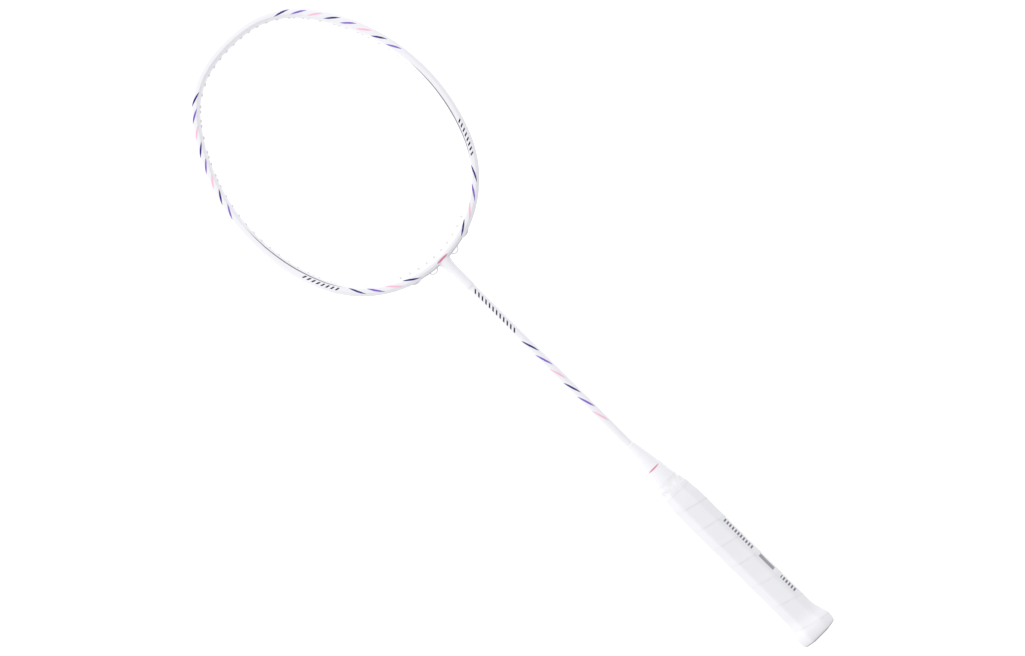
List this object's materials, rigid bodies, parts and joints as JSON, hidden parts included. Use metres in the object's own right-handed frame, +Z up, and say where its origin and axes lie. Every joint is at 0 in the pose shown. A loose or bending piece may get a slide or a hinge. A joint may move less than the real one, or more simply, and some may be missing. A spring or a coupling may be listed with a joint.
{
  "type": "badminton racket",
  "caption": "Unstrung badminton racket: hollow oval head with string grommets, slim shaft, cone cap, wrapped octagonal handle with flared butt.",
  "frame": {"origin": "the centre of the bounding box in plan, on the ground the racket lies on", "axes": "+Y from the butt end to the head tip, +X across the head to the player's right when the tip points away, +Z up out of the string plane. The racket lies as it really does, on the rim of the butt and the underside of the head tip, so its own axis dips 0.88 degrees towards the tip"},
  "size_m": [0.1996, 0.6752, 0.031],
  "materials": {
    "frame_lacquer": "white lacquer with clear coat over moulded carbon",
    "moulded_carbon": "bare moulded carbon",
    "shaft_lacquer": "white lacquer with clear coat over a carbon tube",
    "plug_wood": "bare turned wood",
    "grommet_nylon": "translucent white nylon",
    "cone_plastic": "white moulded plastic",
    "handle_wood": "bare machined wood",
    "weight_brass": "turned brass",
    "butt_plastic": "white moulded plastic",
    "disc_plastic": "plain satin disc",
    "staple_steel": "bright wire",
    "tape_paper": "adhesive-coated paper tape",
    "grip_skin": "cushioned white polyurethane with a fine grain",
    "finish_tape": "white stretch tape",
    "label_film": "printed film"
  },
  "bodies": {
    "root": {"head_frame": "frame_lacquer", "t_joint": "moulded_carbon", "shaft": "shaft_lacquer", "shaft_plug": "plug_wood", "top_grommet_strip": "grommet_nylon", "right_throat_strip": "grommet_nylon", "left_throat_strip": "grommet_nylon", "single_grommets": "grommet_nylon", "shared_hole_grommets": "grommet_nylon", "cone_cap": "cone_plastic", "handle_core": "handle_wood", "balance_weight": "weight_brass", "butt_cap": "butt_plastic", "butt_disc": "disc_plastic", "grip_staple": "staple_steel", "adhesive_tape": "tape_paper", "grip_wrap": "grip_skin", "finishing_tape": "finish_tape", "handle_label": "label_film"}
  },
  "joints": []
}
